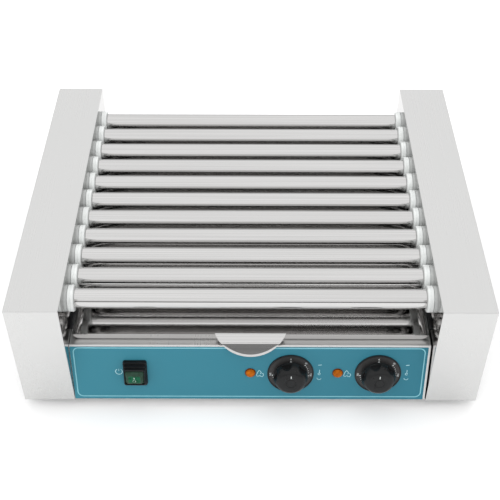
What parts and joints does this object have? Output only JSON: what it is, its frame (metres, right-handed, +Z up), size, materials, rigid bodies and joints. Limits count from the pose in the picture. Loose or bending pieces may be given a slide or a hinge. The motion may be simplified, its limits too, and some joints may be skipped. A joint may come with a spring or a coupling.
{
  "type": "hot dog roller grill",
  "caption": "Counter-top roller grill: driven heated steel rollers between two side boxes, over a pull-out drip tray, with temperature knobs on a leaning front panel.",
  "frame": {"origin": "middle of the bounding box's bottom, on the surface that the rubber feet stand on", "axes": "+X to the right along the rollers, +Y to the back, +Z up"},
  "size_m": [0.58, 0.4862, 0.18],
  "materials": {
    "stainless_satin": "satin brushed stainless sheet",
    "stainless_polished": "bright polished stainless",
    "tray_steel": "bright cold-rolled stainless",
    "ptfe_white": "smooth white PTFE",
    "label_teal": "satin printed film",
    "black_plastic": "satin moulded",
    "knob_black": "satin moulded",
    "boot_rubber": "matt moulded rubber",
    "rocker_green": "translucent gloss",
    "lamp_amber": "clear amber gloss",
    "foot_rubber": "matt moulded rubber",
    "zinc_steel": "bright zinc plate",
    "chain_steel": "oiled steel",
    "heater_sheath": "heat-toned steel",
    "motor_paint": "satin paint",
    "white_plastic": "moulded"
  },
  "bodies": {
    "body": {"base_pan": "zinc_steel", "left_side_cover": "stainless_satin", "right_side_cover": "stainless_satin", "left_bearing_plate": "stainless_polished", "right_bearing_plate": "stainless_polished", "front_panel": "stainless_satin", "control_label": "label_teal", "rear_panel": "stainless_satin", "deck_plate": "zinc_steel", "tray_runners": "zinc_steel", "rubber_feet": "foot_rubber", "screws": "zinc_steel", "left_bushings": "ptfe_white", "right_bushings": "ptfe_white", "front_zone_heaters": "heater_sheath", "rear_zone_heaters": "heater_sheath", "heater_brackets": "zinc_steel", "terminal_block": "white_plastic", "knob_bezels": "black_plastic", "pilot_lamp_bodies": "black_plastic", "pilot_lamp_lenses": "lamp_amber", "switch_housing": "black_plastic", "switch_boot": "boot_rubber", "left_thermostat": "zinc_steel", "right_thermostat": "zinc_steel", "gear_motor": "motor_paint", "motor_bracket": "zinc_steel", "drive_chain": "chain_steel", "cable_gland": "black_plastic"},
    "roller_01": {"roller_01": "stainless_polished", "roller_sprocket_01": "chain_steel"},
    "roller_02": {"roller_02": "stainless_polished", "roller_sprocket_02": "chain_steel"},
    "roller_03": {"roller_03": "stainless_polished", "roller_sprocket_03": "chain_steel"},
    "roller_04": {"roller_04": "stainless_polished", "roller_sprocket_04": "chain_steel"},
    "roller_05": {"roller_05": "stainless_polished", "roller_sprocket_05": "chain_steel"},
    "roller_06": {"roller_06": "stainless_polished", "roller_sprocket_06": "chain_steel"},
    "roller_07": {"roller_07": "stainless_polished", "roller_sprocket_07": "chain_steel"},
    "roller_08": {"roller_08": "stainless_polished", "roller_sprocket_08": "chain_steel"},
    "roller_09": {"roller_09": "stainless_polished", "roller_sprocket_09": "chain_steel"},
    "roller_10": {"roller_10": "stainless_polished", "roller_sprocket_10": "chain_steel"},
    "roller_11": {"roller_11": "stainless_polished", "roller_sprocket_11": "chain_steel"},
    "motor_output": {"motor_sprocket": "chain_steel"},
    "tray": {"drip_tray": "tray_steel", "tray_handle": "tray_steel", "handle_rivets": "tray_steel"},
    "left_knob": {"left_knob": "knob_black", "left_spindle": "zinc_steel"},
    "right_knob": {"right_knob": "knob_black", "right_spindle": "zinc_steel"},
    "rocker": {"switch_rocker": "rocker_green"}
  },
  "joints": [
    {"name": "roller_01_spin", "type": "hinge", "parent": "body", "child": "roller_01", "pos_m": [0, -0.18225, 0.154], "axis": [1, 0, 0], "continuous": true, "deforming": ["drive_chain"]},
    {"name": "roller_02_spin", "type": "hinge", "parent": "body", "child": "roller_02", "pos_m": [0, -0.14625, 0.154], "axis": [1, 0, 0], "continuous": true},
    {"name": "roller_03_spin", "type": "hinge", "parent": "body", "child": "roller_03", "pos_m": [0, -0.11025, 0.154], "axis": [1, 0, 0], "continuous": true},
    {"name": "roller_04_spin", "type": "hinge", "parent": "body", "child": "roller_04", "pos_m": [0, -0.07425, 0.154], "axis": [1, 0, 0], "continuous": true},
    {"name": "roller_05_spin", "type": "hinge", "parent": "body", "child": "roller_05", "pos_m": [0, -0.03825, 0.154], "axis": [1, 0, 0], "continuous": true},
    {"name": "roller_06_spin", "type": "hinge", "parent": "body", "child": "roller_06", "pos_m": [0, -0.00225, 0.154], "axis": [1, 0, 0], "continuous": true},
    {"name": "roller_07_spin", "type": "hinge", "parent": "body", "child": "roller_07", "pos_m": [0, 0.03375, 0.154], "axis": [1, 0, 0], "continuous": true},
    {"name": "roller_08_spin", "type": "hinge", "parent": "body", "child": "roller_08", "pos_m": [0, 0.06975, 0.154], "axis": [1, 0, 0], "continuous": true},
    {"name": "roller_09_spin", "type": "hinge", "parent": "body", "child": "roller_09", "pos_m": [0, 0.10575, 0.154], "axis": [1, 0, 0], "continuous": true},
    {"name": "roller_10_spin", "type": "hinge", "parent": "body", "child": "roller_10", "pos_m": [0, 0.14175, 0.154], "axis": [1, 0, 0], "continuous": true},
    {"name": "roller_11_spin", "type": "hinge", "parent": "body", "child": "roller_11", "pos_m": [0, 0.17775, 0.154], "axis": [1, 0, 0], "continuous": true},
    {"name": "motor_output_spin", "type": "hinge", "parent": "body", "child": "motor_output", "pos_m": [0.2414, 0.13, 0.05878], "axis": [1, 0, 0], "continuous": true},
    {"name": "tray_slide", "type": "slide", "parent": "body", "child": "tray", "axis": [0, -1, 0], "range_m": [0, 0.4]},
    {"name": "left_knob_turn", "type": "hinge", "parent": "body", "child": "left_knob", "pos_m": [0.0506, -0.21985, 0.05745], "axis": [0, 0.9785, -0.206], "range_deg": [0, 265]},
    {"name": "right_knob_turn", "type": "hinge", "parent": "body", "child": "right_knob", "pos_m": [0.1606, -0.21985, 0.05745], "axis": [0, 0.9785, -0.206], "range_deg": [0, 265]},
    {"name": "rocker_tilt", "type": "hinge", "parent": "body", "child": "rocker", "pos_m": [-0.1448, -0.22745, 0.06017], "axis": [-1, 0, 0], "range_deg": [0, 12]}
  ],
  "couplings": [
    {"joint": "roller_02_spin", "follows": "roller_01_spin", "ratio": 1},
    {"joint": "roller_03_spin", "follows": "roller_01_spin", "ratio": 1},
    {"joint": "roller_04_spin", "follows": "roller_01_spin", "ratio": 1},
    {"joint": "roller_05_spin", "follows": "roller_01_spin", "ratio": 1},
    {"joint": "roller_06_spin", "follows": "roller_01_spin", "ratio": 1},
    {"joint": "roller_07_spin", "follows": "roller_01_spin", "ratio": 1},
    {"joint": "roller_08_spin", "follows": "roller_01_spin", "ratio": 1},
    {"joint": "roller_09_spin", "follows": "roller_01_spin", "ratio": 1},
    {"joint": "roller_10_spin", "follows": "roller_01_spin", "ratio": 1},
    {"joint": "roller_11_spin", "follows": "roller_01_spin", "ratio": 1},
    {"joint": "motor_output_spin", "follows": "roller_01_spin", "ratio": 1.3333}
  ]
}
